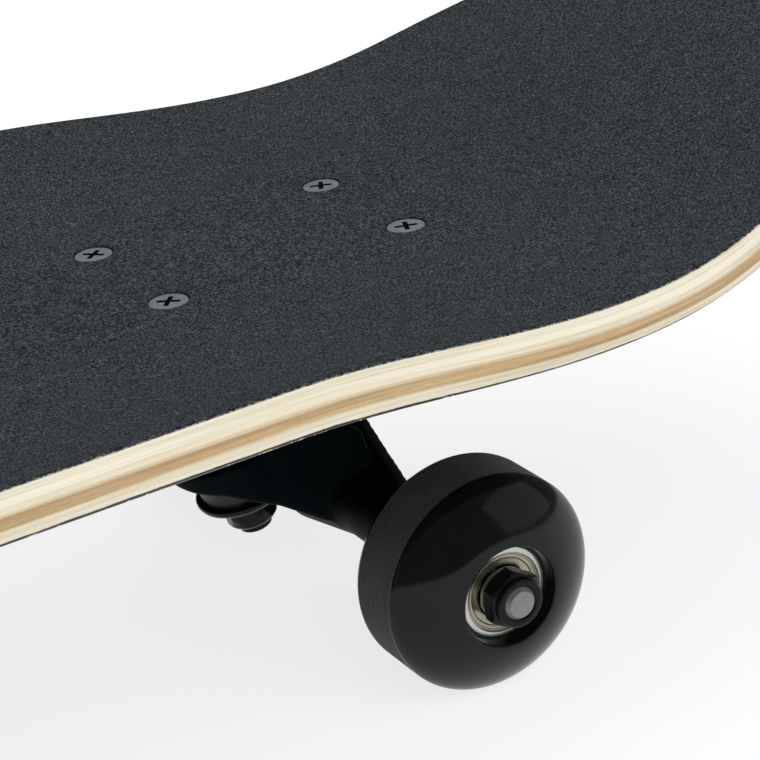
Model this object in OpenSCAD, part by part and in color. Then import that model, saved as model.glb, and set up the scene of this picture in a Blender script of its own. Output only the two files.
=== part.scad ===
// Street skateboard: seven-ply kicktail deck, two kingpin trucks, four wheels on ball bearings.
// Millimetres. +X is the front end, +Y the left side, +Z up. The floor is z = 0 and the
// origin lies under the middle of the deck, so the wheels stand on the plane z = 0.

/* [Deck] */
// Overall length, tip to tip
deck_length = 806; // [780:2:830]
// Overall width between the rails
deck_width = 212; // [206:1:218]
// Thickness of one veneer
ply_thickness = 1.4; // [1.3:0.05:1.6]
// Thickness of the grip sheet
grip_thickness = 0.7; // [0.5:0.1:0.9]
// Thickness of the lacquer film under the deck
film_thickness = 0.25; // [0.2:0.05:0.4]
// Height of the rails above the flat middle, between the trucks
concave_rise = 11; // [8:0.5:13]
// What is left of that rise in the nose and tail
nose_rise = 3.5; // [2:0.5:5]
// Angle of the nose and tail
kick_angle = 20; // [14:1:23]
// Bend radius where the nose and tail turn up
kick_radius = 135; // [120:5:180]
// Start of that bend, outboard of the truck centre
kick_start = 48; // [42:1:54]

/* [Trucks] */
// Distance between the centres of the two bolt patterns
truck_spacing = 420; // [400:2:440]
// Bolt spacing along the deck
bolt_spacing_x = 63.5; // [60:0.5:66]
// Bolt spacing across the deck
bolt_spacing_y = 41.28; // [40:0.04:42]
// Deck underside to axle centre
truck_height = 56.2; // [55:0.1:58]
// Axle centre outboard of the bolt pattern centre
axle_outset = 12; // [10:0.5:13]
// Half the length of the axle
axle_half = 89; // [88.5:0.5:92]
// Lean of the kingpin from upright, its head towards the middle of the deck
kingpin_lean = 12; // [10:0.5:14]

/* [Wheels] */
// Wheel diameter
wheel_diameter = 53; // [51:0.5:54]
// Wheel width
wheel_width = 32; // [31:0.5:33]
// Width of the flat tread
tread_width = 13.5; // [11:0.5:16]

/* [Bearings] */
// Outer diameter of the bearing
bearing_diameter = 22; // [22:0.1:22]
// Width of the bearing
bearing_width = 7; // [7:0.1:7]
// Number of balls in one bearing
ball_count = 7; // [6:1:7]

/* [Hidden] */
$fn = 64;
eps = 0.01;

// Heights, from the floor up
ply_count = 7;
axle_z = wheel_diameter / 2;
deck_bottom_z = axle_z + truck_height;
deck_stack = grip_thickness + ply_count * ply_thickness;
grip_top_z = deck_bottom_z + film_thickness + deck_stack;
truck_x = truck_spacing / 2;

// Deck outline: a straight-sided middle with an elliptical nose and tail
half_width = deck_width / 2;
nose_x = truck_x - 13;
nose_length = deck_length / 2 - nose_x;
straight_stations = [0, truck_x - 46, truck_x - 34, truck_x - 23];
nose_angles = [0, 6.5, 13, 17, 21, 25, 30, 35, 42, 50, 58, 66, 74, 80, 85];
half_stations = len(straight_stations) + len(nose_angles);
last_station = 2 * half_stations - 2;
// Grid lines across the deck, as shares of the half width
rows = [-1, -0.75, -0.5, -0.25, 0.25, 0.5, 0.75, 1];
row_count = len(rows);
flat_share = 0.25;
fade_half = 45;
// Rounding of the deck's edge
top_inset = 1.2;
low_inset = 2.5;
edge_depth = 4.2;
slope_step = 0.5;

// Truck bolts
bolt_r = 2.35;
bolt_hole_r = 2.6;
bolt_head_r = 4.65;
bolt_head_gap = 0.12;
bolt_head_sink = 0.15;
bolt_cone_depth = 2.6;
bolt_length = 25.4;
cross_length = 5.6;
cross_width = 1.15;
cross_depth = 1.7;
nut_across_flats = 9.5;
nut_hex_height = 3.5;
nut_height = 5;

// Baseplate
plate_thickness = 6;
plate_bottom_z = deck_bottom_z - plate_thickness;
boss_reach = 30;
plate_inboard = 43;
plate_outboard = 50;
plate_half_y = 28;
plate_corner_r = 8;
kingpin_boss_r = 13.5;
pivot_boss_r = 13;
rib_half = 4;
rib_start = -8;
rib_end = 32;
rib_drop = 9;
gusset = [[-41, 1], [-41, -1], [-30, -9], [-20, -9], [-20, 1]];

// Kingpin: s is the distance along its axis, up from the nut's foot
kingpin_foot = [-9.6, 0, axle_z - 4.7];
kingpin_r = 4.2;
kingpin_hole_r = 4.35;
kingpin_nut_height = 7;
kingpin_nut_across = 12.7;
kingpin_collar_r = 6.4;
kingpin_collar_height = 3;
cup_washer_r = 12;
cup_washer_plate = 1.5;
cup_washer_rim = 2.8;
bushing_gap = 0.05;
ring_web_low_s = 17;
ring_web_high_s = 22.5;
ring_centre_s = 20.5;
ring_r = 16.5;
ring_hole_r = 7.6;
nut_room_r = 11;
nut_room_top_s = 6.5;
washer_room_r = 14.2;
washer_room_top_s = 13.5;
low_recess_r = 11.3;
high_recess_r = 12.4;
low_bushing_r = 10.4;
high_bushing_r = 11.6;
bushing_waist = 0.9;
bushing_top_s = 35.2;
board_washer_thickness = 1.8;
boss_seat_s = bushing_top_s + board_washer_thickness;
head_seat_s = 46;
head_height = 6;
head_across = 14.2;
head_pocket_r = 8.4;

// Pivot: the hanger's round nose turns in a plastic cup pressed into the baseplate
pivot_centre = [38, 0, deck_bottom_z - 16.2];
ring_centre = kingpin_foot + ring_centre_s * [-sin(kingpin_lean), 0, cos(kingpin_lean)];
steer_run = pivot_centre - ring_centre;
steer_tilt = atan2(steer_run[0], steer_run[2]);
nose_r = 6.5;
nose_clearance = 0.1;
nose_neck = 20;
cup_r = 9.4;
cup_pocket_r = 9.5;
cup_mouth = 6;
cup_back = 9;

// Hanger
housing_r = 8.8;
housing_centre_r = 12.6;
housing_cone_end = 25;
housing_cone_r = 8.5;
hanger_half = 54.5;
shoulder_r = 8.2;
shoulder_length = 5.5;
// Plan of the ring and its yoke across the kingpin, and their side view from the axle centre
yoke_outline = [[-3, -15], [14, -19], [26, -24], [26, 24], [14, 19], [-3, 15]];
ring_profile = [
    [-32, 12.5], [-28, 10.8], [-22, 10.3], [-16, 7.5], [-10, 4.5], [-1, -1.5], [6, -6],
    [14, -6.5], [22, 3.5], [20, 17.5], [4, 23.1], [-32, 15.5]
];
ring_reach = 60;
// Web: its outboard face passes through the axle, leaning outboard
web_tilt = 27.6;
web_thickness = 5;
web_outline = [[-51, 4.7], [51, 4.7], [9, 18.8], [7, 33], [-7, 33], [-9, 18.8]];
axle_r = 3.97;
axle_bore_r = 4;

// Wheel hardware, measured along the axle from the wheel's middle plane
wheel_y = 68.5;
wheel_r = wheel_diameter / 2;
wheel_half = wheel_width / 2;
bearing_r = bearing_diameter / 2;
bearing_half = bearing_width / 2;
bearing_recess = 3;
bearing_mid = wheel_half - bearing_recess - bearing_half;
lip_r = 12.4;
recess_floor_r = 11.3;
core_r = 9.5;
dome_power = 1.45;
inner_ring_r = 6.05;
outer_ring_shoulder_r = 8.95;
shield_seat_r = 9.6;
shield_depth = 0.9;
shield_thickness = 0.35;
shield_step_r = 8.3;
shield_hole_r = 6.5;
ball_r = 1.75;
ball_pitch_r = 7.5;
race_clearance = 0.07;
cage_inner_r = 6.9;
cage_outer_r = 8.1;
cage_half = 2.1;
pocket_length = 4;
washer_r = 6.35;
washer_thickness = 1;
axle_nut_across = 12.7;
axle_nut_height = 6;
spacer_r = 5.4;

black = "#15181b";
satin_black = "#0e1418";
maple = "#e9dfc6";
tan_maple = "#c8a781";
steel = "#b9bbbd";

// ---------------------------------------------------------------- deck surface

function clamped(t) = min(1, max(0, t));
function smooth(t) = let (c = clamped(t)) c * c * (3 - 2 * c);

// Rail height above the flat middle, fading out across the trucks
function rail_rise(x) =
    let (u = abs(x) - truck_x)
    concave_rise + (nose_rise - concave_rise) * smooth((u + fade_half) / (2 * fade_half));

// Height of the upturned nose or tail
function kick_rise(x) =
    let (u = abs(x) - truck_x - kick_start, run = kick_radius * sin(kick_angle))
    u <= 0 ? 0
    : u < run ? kick_radius - sqrt(kick_radius * kick_radius - u * u)
    : kick_radius * (1 - cos(kick_angle)) + (u - run) * tan(kick_angle);

function bowl(y) =
    let (t = max(0, (abs(y) / half_width - flat_share) / (1 - flat_share))) t * t;

function top_z(x, y) = grip_top_z + rail_rise(x) * bowl(y) + kick_rise(x);

function unit(v) = v / norm(v);

function surface_normal(x, y) =
    let (
        dx = (top_z(x + slope_step, y) - top_z(x - slope_step, y)) / (2 * slope_step),
        dy = (top_z(x, y + slope_step) - top_z(x, y - slope_step)) / (2 * slope_step)
    )
    unit([-dx, -dy, 1]);

// Distance by which the outline draws in at a depth, for the rounded edge
function edge_draw(depth) =
    let (
        top = max(0, 1 - depth / edge_depth),
        low = max(0, 1 - (deck_stack - depth) / edge_depth)
    )
    top_inset * top * top + low_inset * low * low;

// Half outline at a station, counted outward from the middle: [x, half width]
function half_outline(i, inset) =
    i < len(straight_stations)
    ? [straight_stations[i], half_width - inset]
    : let (a = nose_angles[i - len(straight_stations)])
      [nose_x + (nose_length - inset) * sin(a), (half_width - inset) * cos(a)];

function outline(i, inset) =
    let (
        n = i - half_stations + 1,
        p = half_outline(abs(n), inset)
    )
    [sign(n) * p[0], p[1]];

function layer_point(i, row, depth) =
    let (
        p = outline(i, edge_draw(depth)),
        y = rows[row] * p[1],
        q = [p[0], y, top_z(p[0], y)]
    )
    q - depth * surface_normal(p[0], y);

function grid(depth) =
    [for (i = [0 : last_station]) for (j = [0 : row_count - 1]) layer_point(i, j, depth)];

function at(i, j) = i * row_count + j;

// One sheet of the deck between two depths below the grip's surface
module deck_layer(depth_top, depth_low) {
    size = (last_station + 1) * row_count;
    top_faces = [
        for (i = [0 : last_station - 1]) for (j = [0 : row_count - 2])
        for (f = [[at(i, j), at(i, j + 1), at(i + 1, j + 1)], [at(i, j), at(i + 1, j + 1), at(i + 1, j)]])
        f
    ];
    low_faces = [for (f = top_faces) [f[0] + size, f[2] + size, f[1] + size]];
    rail_faces = [
        for (i = [0 : last_station - 1]) for (side = [0, row_count - 1])
        let (a = at(i, side), b = at(i + 1, side))
        for (f = side == 0
            ? [[a, b, b + size], [a, b + size, a + size]]
            : [[a, b + size, b], [a, a + size, b + size]])
        f
    ];
    tip_faces = [
        for (j = [0 : row_count - 2]) for (end = [0, last_station])
        let (a = at(end, j), b = at(end, j + 1))
        for (f = end == 0
            ? [[a, b + size, b], [a, a + size, b + size]]
            : [[a, b, b + size], [a, b + size, a + size]])
        f
    ];
    polyhedron(
        points = concat(grid(depth_top), grid(depth_low)),
        faces = concat(top_faces, low_faces, rail_faces, tip_faces)
    );
}

module at_bolts() {
    for (x = [-1, 1]) for (y = [-1, 1])
        translate([x * bolt_spacing_x / 2, y * bolt_spacing_y / 2, 0]) children();
}

module at_truck(end) {
    rotate([0, 0, end > 0 ? 0 : 180]) translate([truck_x, 0, 0]) children();
}

// Bolt holes with their countersinks
module bolt_openings() {
    head_r = bolt_head_r + bolt_head_gap;
    rim_z = grip_top_z - grip_thickness;
    for (end = [-1, 1]) at_truck(end) at_bolts() {
        translate([0, 0, deck_bottom_z - 2]) cylinder(h = deck_stack + 4, r = bolt_hole_r);
        translate([0, 0, rim_z - bolt_cone_depth])
            cylinder(h = bolt_cone_depth, r1 = bolt_hole_r, r2 = head_r);
        translate([0, 0, rim_z]) cylinder(h = 5, r = head_r);
    }
}

module drilled_layer(depth_top, depth_low) {
    difference() {
        deck_layer(depth_top, depth_low);
        bolt_openings();
    }
}

module grip_tape() {
    color("#3b4045") drilled_layer(0, grip_thickness);
}

// Veneers are counted from the top; the middle pair is darker heartwood
module deck_ply(number) {
    top = grip_thickness + (number - 1) * ply_thickness;
    color(number == 4 || number == 5 ? tan_maple : maple)
        drilled_layer(top, top + ply_thickness);
}

module deck_bottom_film() {
    color(black) drilled_layer(deck_stack, deck_stack + film_thickness);
}

// ---------------------------------------------------------------- truck bolts

module truck_bolts() {
    head_z = grip_top_z - bolt_head_sink;
    rim_z = grip_top_z - grip_thickness;
    color("#59636b") at_bolts() difference() {
        union() {
            translate([0, 0, grip_top_z - bolt_length]) cylinder(h = bolt_length - 1, r = bolt_r);
            translate([0, 0, rim_z - bolt_cone_depth + 0.3])
                cylinder(h = bolt_cone_depth - 0.3, r1 = bolt_r, r2 = bolt_head_r - 0.05);
            translate([0, 0, rim_z]) cylinder(h = head_z - rim_z, r = bolt_head_r);
        }
        for (a = [0, 90])
            rotate([0, 0, a]) translate([0, 0, head_z - cross_depth / 2 + eps])
                cube([cross_length, cross_width, cross_depth], center = true);
    }
}

module hex_bar(across, height) {
    cylinder(h = height, r = across / 2 / cos(30), $fn = 6);
}

// Lock nuts under the baseplate
module truck_nuts() {
    color(steel) at_bolts() translate([0, 0, plate_bottom_z - nut_height]) difference() {
        union() {
            translate([0, 0, nut_height - nut_hex_height]) hex_bar(nut_across_flats, nut_hex_height);
            cylinder(h = nut_height - 1, r = nut_across_flats / 2 - 0.4);
        }
        translate([0, 0, -1]) cylinder(h = nut_height + 2, r = bolt_r);
    }
}

// ---------------------------------------------------------------- truck, board side

module along_kingpin(s) {
    translate(kingpin_foot) rotate([0, -kingpin_lean, 0]) translate([0, 0, s]) children();
}

module along_steer(t) {
    translate(pivot_centre) rotate([0, steer_tilt, 0]) translate([0, 0, t]) children();
}

// Plate with round corners, standing on z = 0
module rounded_plate(x0, x1, half_y, r, h) {
    translate([x0 + r, -half_y, 0]) cube([x1 - x0 - 2 * r, 2 * half_y, h]);
    translate([x0, -half_y + r, 0]) cube([x1 - x0, 2 * (half_y - r), h]);
    for (x = [x0 + r, x1 - r]) for (y = [-half_y + r, half_y - r])
        translate([x, y, 0]) cylinder(h = h, r = r);
}

module baseplate() {
    color(satin_black) difference() {
        union() {
            translate([0, 0, plate_bottom_z])
                rounded_plate(-plate_inboard, plate_outboard, plate_half_y, plate_corner_r, plate_thickness);
            intersection() {
                union() {
                    along_kingpin(boss_seat_s) cylinder(h = boss_reach, r = kingpin_boss_r);
                    along_steer(-cup_mouth) cylinder(h = boss_reach, r = pivot_boss_r);
                    translate([rib_start, -rib_half, plate_bottom_z - rib_drop])
                        cube([rib_end - rib_start, 2 * rib_half, rib_drop + 1]);
                    translate([0, 0, plate_bottom_z]) rotate([90, 0, 0])
                        linear_extrude(2 * rib_half, center = true) polygon(gusset);
                }
                translate([-plate_inboard, -plate_half_y, 0])
                    cube([plate_inboard + plate_outboard, 2 * plate_half_y, deck_bottom_z]);
            }
        }
        along_kingpin(0) cylinder(h = 90, r = kingpin_hole_r);
        along_kingpin(head_seat_s) cylinder(h = boss_reach, r = head_pocket_r);
        along_steer(-cup_mouth - 10) cylinder(h = 10 + cup_mouth + cup_back, r = cup_pocket_r);
        at_bolts() translate([0, 0, plate_bottom_z - 1]) cylinder(h = plate_thickness + 2, r = bolt_hole_r);
    }
}

module pivot_cup() {
    color("#222222") along_steer(0) difference() {
        translate([0, 0, -cup_mouth]) cylinder(h = cup_mouth + cup_back, r = cup_r);
        translate([0, 0, -cup_mouth - 1]) cylinder(h = cup_mouth + 1, r = nose_r + nose_clearance);
        sphere(r = nose_r + nose_clearance);
    }
}

module kingpin() {
    color(steel) along_kingpin(0) {
        translate([0, 0, -2]) cylinder(h = head_seat_s + 3, r = kingpin_r);
        translate([0, 0, head_seat_s]) hex_bar(head_across, head_height);
    }
}

module kingpin_nut() {
    color(black) along_kingpin(0) difference() {
        union() {
            translate([0, 0, kingpin_collar_height])
                hex_bar(kingpin_nut_across, kingpin_nut_height - kingpin_collar_height);
            cylinder(h = kingpin_collar_height + 1, r = kingpin_collar_r);
        }
        translate([0, 0, -1]) cylinder(h = kingpin_nut_height + 2, r = kingpin_r);
    }
}

// Turned cushion with a slight waist, between two distances along the kingpin
module bushing(s_low, s_high, r) {
    h = s_high - s_low;
    along_kingpin(s_low) rotate_extrude() polygon([
        [kingpin_hole_r, 0], [r - bushing_waist, 0], [r, h / 4], [r, 3 * h / 4],
        [r - bushing_waist, h], [kingpin_hole_r, h]
    ]);
}

module bushing_boardside() {
    color("#2a2c2f") bushing(ring_web_high_s + bushing_gap, bushing_top_s, high_bushing_r);
}

module bushing_roadside() {
    color("#2a2c2f") bushing(kingpin_nut_height + cup_washer_plate, ring_web_low_s - bushing_gap, low_bushing_r);
}

// Cupped washer under the lower bushing and a flat one above the upper bushing
module bushing_washers() {
    color(black) {
        along_kingpin(kingpin_nut_height) rotate_extrude() polygon([
            [kingpin_hole_r, 0], [cup_washer_r - 2, 0], [cup_washer_r, 1.6],
            [cup_washer_r, cup_washer_rim], [cup_washer_r - 0.7, cup_washer_rim],
            [cup_washer_r - 0.8, cup_washer_plate], [kingpin_hole_r, cup_washer_plate]
        ]);
        along_kingpin(bushing_top_s) difference() {
            cylinder(h = board_washer_thickness, r = cup_washer_r);
            translate([0, 0, -1]) cylinder(h = board_washer_thickness + 2, r = kingpin_hole_r);
        }
    }
}

// ---------------------------------------------------------------- truck, hanger side

module along_axle() {
    translate([axle_outset, 0, axle_z]) rotate([-90, 0, 0]) children();
}

// Ring round the kingpin, running into the yoke that carries the axle housing
module ring_body() {
    intersection() {
        along_kingpin(-ring_reach / 2) linear_extrude(2 * ring_reach) {
            circle(r = ring_r);
            polygon(yoke_outline);
        }
        translate([0, 0, axle_z]) rotate([90, 0, 0]) linear_extrude(ring_reach, center = true)
            polygon(ring_profile);
    }
}

module hanger() {
    color(satin_black) difference() {
        union() {
            ring_body();
            along_axle() {
                cylinder(h = 2 * (hanger_half - shoulder_length), r = housing_r, center = true);
                cylinder(h = 2 * hanger_half, r = shoulder_r, center = true);
                for (side = [0, 1]) mirror([0, 0, side])
                    cylinder(h = housing_cone_end, r1 = housing_centre_r, r2 = housing_cone_r);
            }
            translate([axle_outset, 0, axle_z]) rotate([0, web_tilt, 0]) rotate([90, 0, 90])
                translate([0, 0, -web_thickness]) linear_extrude(web_thickness) polygon(web_outline);
            along_steer(-nose_neck) cylinder(h = nose_neck, r = nose_r);
            along_steer(0) sphere(r = nose_r);
        }
        along_axle() cylinder(h = 2 * hanger_half + 2, r = axle_bore_r, center = true);
        along_kingpin(0) cylinder(h = ring_reach, r = ring_hole_r);
        along_kingpin(-ring_reach) cylinder(h = ring_reach + nut_room_top_s, r = nut_room_r);
        along_kingpin(nut_room_top_s - eps) cylinder(h = washer_room_top_s - nut_room_top_s, r = washer_room_r);
        along_kingpin(0) cylinder(h = ring_web_low_s, r = low_recess_r);
        along_kingpin(ring_web_high_s) cylinder(h = ring_reach, r = high_recess_r);
    }
}

module axle() {
    color(steel) along_axle() {
        cylinder(h = 2 * axle_half - 1, r = axle_r, center = true);
        for (side = [0, 1]) mirror([0, 0, side]) translate([0, 0, axle_half - 0.5 - eps])
            cylinder(h = 0.5 + eps, r1 = axle_r, r2 = axle_r - 0.6);
    }
}

// Places its children at each end of one truck's axle, with z running outward
module both_ends(distance) {
    along_axle() for (side = [0, 1]) mirror([0, 0, side]) translate([0, 0, distance]) children();
}

module tube(inner, outer, height) {
    difference() {
        cylinder(h = height, r = outer);
        translate([0, 0, -1]) cylinder(h = height + 2, r = inner);
    }
}

module axle_nuts() {
    color(black) both_ends(wheel_y + bearing_mid + bearing_half + washer_thickness) difference() {
        intersection() {
            hex_bar(axle_nut_across, axle_nut_height);
            translate([0, 0, -3]) cylinder(h = axle_nut_height + 3.6, r1 = 11, r2 = 6.2);
        }
        translate([0, 0, -1]) cylinder(h = axle_nut_height + 2, r = axle_r);
    }
}

module speed_washers() {
    color(steel) {
        both_ends(wheel_y + bearing_mid + bearing_half) tube(axle_bore_r, washer_r, washer_thickness);
        both_ends(wheel_y - bearing_mid - bearing_half - washer_thickness)
            tube(axle_bore_r, washer_r, washer_thickness);
    }
}

module bearing_spacers() {
    gap = 2 * (bearing_mid - bearing_half);
    color(steel) both_ends(wheel_y - gap / 2) tube(axle_bore_r, spacer_r, gap);
}

module raceway() {
    rotate_extrude() translate([ball_pitch_r, 0]) circle(r = ball_r + race_clearance);
}

module bearing_inner_rings() {
    color(steel) for (place = [-bearing_mid, bearing_mid]) both_ends(wheel_y + place) difference() {
        translate([0, 0, -bearing_half]) tube(axle_bore_r, inner_ring_r, bearing_width);
        raceway();
    }
}

// ---------------------------------------------------------------- wheels

// Places its children at one wheel's middle, with z running outward along the axle
module at_wheel(end, side) {
    turn = end * side;
    at_truck(end) translate([axle_outset, turn * wheel_y, axle_z]) rotate([-90 * turn, 0, 0]) children();
}

module at_bearings() {
    for (z = [-bearing_mid, bearing_mid]) translate([0, 0, z]) children();
}

// Dome from the tread's edge to the lip, as [radius, height]
function dome_point(a) = [
    lip_r + (wheel_r - lip_r) * pow(cos(a), 2 / dome_power),
    tread_width / 2 + (wheel_half - tread_width / 2) * pow(sin(a), 2 / dome_power)
];
dome = [for (a = [0 : 10 : 90]) dome_point(a)];
dome_low = [for (i = [len(dome) - 1 : -1 : 0]) [dome[i][0], -dome[i][1]]];

module wheel() {
    seat = wheel_half - bearing_recess;
    shoulder = bearing_mid - bearing_half;
    color(black) rotate_extrude($fn = 96) polygon(concat(
        [[core_r, -shoulder], [bearing_r, -shoulder], [bearing_r, -seat], [recess_floor_r, -seat]],
        dome_low,
        dome,
        [[recess_floor_r, seat], [bearing_r, seat], [bearing_r, shoulder], [core_r, shoulder]]
    ));
}

module bearing_outer_rings() {
    deep = bearing_half - shield_depth - shield_thickness;
    color(steel) at_bearings() difference() {
        rotate_extrude() polygon([
            [outer_ring_shoulder_r, -deep], [shield_seat_r, -deep], [shield_seat_r, -bearing_half],
            [bearing_r, -bearing_half], [bearing_r, bearing_half], [shield_seat_r, bearing_half],
            [shield_seat_r, deep], [outer_ring_shoulder_r, deep]
        ]);
        raceway();
    }
}

// Pressed steel covers, with a low step near the rim
module bearing_shields() {
    low = bearing_half - shield_depth - shield_thickness;
    color("#8d8773") at_bearings() for (side = [0, 1]) mirror([0, 0, side]) rotate_extrude() polygon([
        [shield_hole_r, low], [shield_seat_r, low], [shield_seat_r, low + shield_thickness + 0.3],
        [shield_step_r, low + shield_thickness + 0.3], [shield_step_r - 0.2, low + shield_thickness],
        [shield_hole_r, low + shield_thickness]
    ]);
}

module at_balls() {
    for (i = [0 : ball_count - 1]) rotate([0, 0, i * 360 / ball_count]) translate([ball_pitch_r, 0, 0]) children();
}

module bearing_balls() {
    color(steel) at_bearings() at_balls() sphere(r = ball_r);
}

module bearing_cages() {
    color("#9a9a90") at_bearings() difference() {
        translate([0, 0, -cage_half]) tube(cage_inner_r, cage_outer_r, 2 * cage_half);
        at_balls() rotate([0, 90, 0]) cylinder(h = pocket_length, r = ball_r + race_clearance, center = true);
    }
}

// ---------------------------------------------------------------- assembly

grip_tape();
deck_ply(1);  // deck_ply_1
deck_ply(2);  // deck_ply_2
deck_ply(3);  // deck_ply_3
deck_ply(4);  // deck_ply_4
deck_ply(5);  // deck_ply_5
deck_ply(6);  // deck_ply_6
deck_ply(7);  // deck_ply_7
deck_bottom_film();
at_truck(1) truck_bolts();  // front_truck_bolts
at_truck(1) truck_nuts();  // front_truck_nuts
at_truck(-1) truck_bolts();  // rear_truck_bolts
at_truck(-1) truck_nuts();  // rear_truck_nuts
at_truck(1) baseplate();  // front_baseplate
at_truck(1) pivot_cup();  // front_pivot_cup
at_truck(1) kingpin();  // front_kingpin
at_truck(1) kingpin_nut();  // front_kingpin_nut
at_truck(1) bushing_boardside();  // front_bushing_boardside
at_truck(1) bushing_roadside();  // front_bushing_roadside
at_truck(1) bushing_washers();  // front_bushing_washers
at_truck(1) hanger();  // front_hanger
at_truck(1) axle();  // front_axle
at_truck(1) axle_nuts();  // front_axle_nuts
at_truck(1) speed_washers();  // front_speed_washers
at_truck(1) bearing_inner_rings();  // front_bearing_inner_rings
at_truck(1) bearing_spacers();  // front_bearing_spacers
at_truck(-1) baseplate();  // rear_baseplate
at_truck(-1) pivot_cup();  // rear_pivot_cup
at_truck(-1) kingpin();  // rear_kingpin
at_truck(-1) kingpin_nut();  // rear_kingpin_nut
at_truck(-1) bushing_boardside();  // rear_bushing_boardside
at_truck(-1) bushing_roadside();  // rear_bushing_roadside
at_truck(-1) bushing_washers();  // rear_bushing_washers
at_truck(-1) hanger();  // rear_hanger
at_truck(-1) axle();  // rear_axle
at_truck(-1) axle_nuts();  // rear_axle_nuts
at_truck(-1) speed_washers();  // rear_speed_washers
at_truck(-1) bearing_inner_rings();  // rear_bearing_inner_rings
at_truck(-1) bearing_spacers();  // rear_bearing_spacers
at_wheel(1, 1) wheel();  // front_left_wheel
at_wheel(1, 1) bearing_outer_rings();  // front_left_bearing_outer_rings
at_wheel(1, 1) bearing_shields();  // front_left_bearing_shields
at_wheel(1, 1) bearing_balls();  // front_left_bearing_balls
at_wheel(1, 1) bearing_cages();  // front_left_bearing_cages
at_wheel(1, -1) wheel();  // front_right_wheel
at_wheel(1, -1) bearing_outer_rings();  // front_right_bearing_outer_rings
at_wheel(1, -1) bearing_shields();  // front_right_bearing_shields
at_wheel(1, -1) bearing_balls();  // front_right_bearing_balls
at_wheel(1, -1) bearing_cages();  // front_right_bearing_cages
at_wheel(-1, 1) wheel();  // rear_left_wheel
at_wheel(-1, 1) bearing_outer_rings();  // rear_left_bearing_outer_rings
at_wheel(-1, 1) bearing_shields();  // rear_left_bearing_shields
at_wheel(-1, 1) bearing_balls();  // rear_left_bearing_balls
at_wheel(-1, 1) bearing_cages();  // rear_left_bearing_cages
at_wheel(-1, -1) wheel();  // rear_right_wheel
at_wheel(-1, -1) bearing_outer_rings();  // rear_right_bearing_outer_rings
at_wheel(-1, -1) bearing_shields();  // rear_right_bearing_shields
at_wheel(-1, -1) bearing_balls();  // rear_right_bearing_balls
at_wheel(-1, -1) bearing_cages();  // rear_right_bearing_cages
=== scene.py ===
# Street skateboard: the looks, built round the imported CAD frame. Metres, +X front, +Y left, +Z up.
import math

import bmesh
import bpy
import numpy as np
from mathutils import Matrix, Vector


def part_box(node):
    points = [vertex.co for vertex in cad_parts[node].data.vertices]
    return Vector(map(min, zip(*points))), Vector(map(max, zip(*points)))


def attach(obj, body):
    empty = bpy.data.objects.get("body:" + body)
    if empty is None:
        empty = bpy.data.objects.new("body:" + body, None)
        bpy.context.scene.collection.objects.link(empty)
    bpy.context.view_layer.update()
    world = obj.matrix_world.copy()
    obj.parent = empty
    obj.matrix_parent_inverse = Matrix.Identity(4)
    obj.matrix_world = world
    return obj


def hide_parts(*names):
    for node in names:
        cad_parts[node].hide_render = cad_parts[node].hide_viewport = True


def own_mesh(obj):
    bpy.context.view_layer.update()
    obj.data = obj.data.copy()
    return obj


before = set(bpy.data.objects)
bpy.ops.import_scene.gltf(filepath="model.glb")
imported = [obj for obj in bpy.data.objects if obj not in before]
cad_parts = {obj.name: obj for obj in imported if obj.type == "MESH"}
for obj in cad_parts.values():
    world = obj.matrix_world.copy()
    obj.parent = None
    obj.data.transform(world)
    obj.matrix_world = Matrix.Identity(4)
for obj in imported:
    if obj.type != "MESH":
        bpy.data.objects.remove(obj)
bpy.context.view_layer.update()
scene = bpy.context.scene
scene.view_settings.view_transform = "Standard"
MM = 0.001

# ------------------------------------------------------------------ sizes, in mm, as in the CAD

axle_lo, axle_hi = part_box("front_axle")
wheel_lo, wheel_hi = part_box("front_right_wheel")
bolt_lo, bolt_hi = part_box("front_truck_bolts")
TRUCK_X = (bolt_lo.x + bolt_hi.x) / 2 / MM
AXLE_X = (axle_lo.x + axle_hi.x) / 2 / MM - TRUCK_X
AXLE_Z = (axle_lo.z + axle_hi.z) / 2 / MM
AXLE_HALF = axle_hi.y / MM
WHEEL_Y = -(wheel_lo.y + wheel_hi.y) / 2 / MM
WHEEL_R = (wheel_hi.z - wheel_lo.z) / 2 / MM
WHEEL_HALF = (wheel_hi.y - wheel_lo.y) / 2 / MM
GRIP_TOP = bolt_hi.z / MM + 0.15
# The deck: half its width, and how thick its grip sheet, each of its veneers and its lacquer are
HALF_WIDTH = 106.0
PLIES = 7
TAN_PLIES = (4, 5)
GRIP, PLY, FILM = 0.7, 1.4, 0.25
STACK = GRIP + PLIES * PLY
DECK_LOW = GRIP_TOP - STACK - FILM
# Its cross curve: how far the rails rise between the trucks and at the ends, over what length that
# fades, and the share of the width that stays flat
RISE, NOSE_RISE, FADE, FLAT = 11.0, 3.5, 45.0, 0.25
# Its kick: where the bend starts, the bend's radius and the slope after it
KICK_START, KICK_R, KICK_A = TRUCK_X + 48, 135.0, math.radians(20)
# Its rounded end: where the taper starts, how long it is, and the last station's angle along it
NOSE_X = TRUCK_X - 13
NOSE_LENGTH = 206 * math.sin(math.radians(85))
NOSE_LAST = 86.5
# How far the edge is drawn in at the top and at the bottom, and over what depth
DRAW_TOP, DRAW_LOW, DRAW_DEPTH = 1.2, 2.5, 4.2
# The truck: half its bolt pattern, its baseplate's underside, its kingpin's lean and foot
BOLT_X, BOLT_Y = 31.75, 20.64
BOLT_SUNK = 0.2
BASEPLATE = 6.0
PLATE_LOW = DECK_LOW - BASEPLATE
LEAN = math.radians(12)
FOOT = Vector((-9.6, 0, AXLE_Z - 4.7))
UPRIGHT = Vector((-math.sin(LEAN), 0, math.cos(LEAN)))
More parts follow.
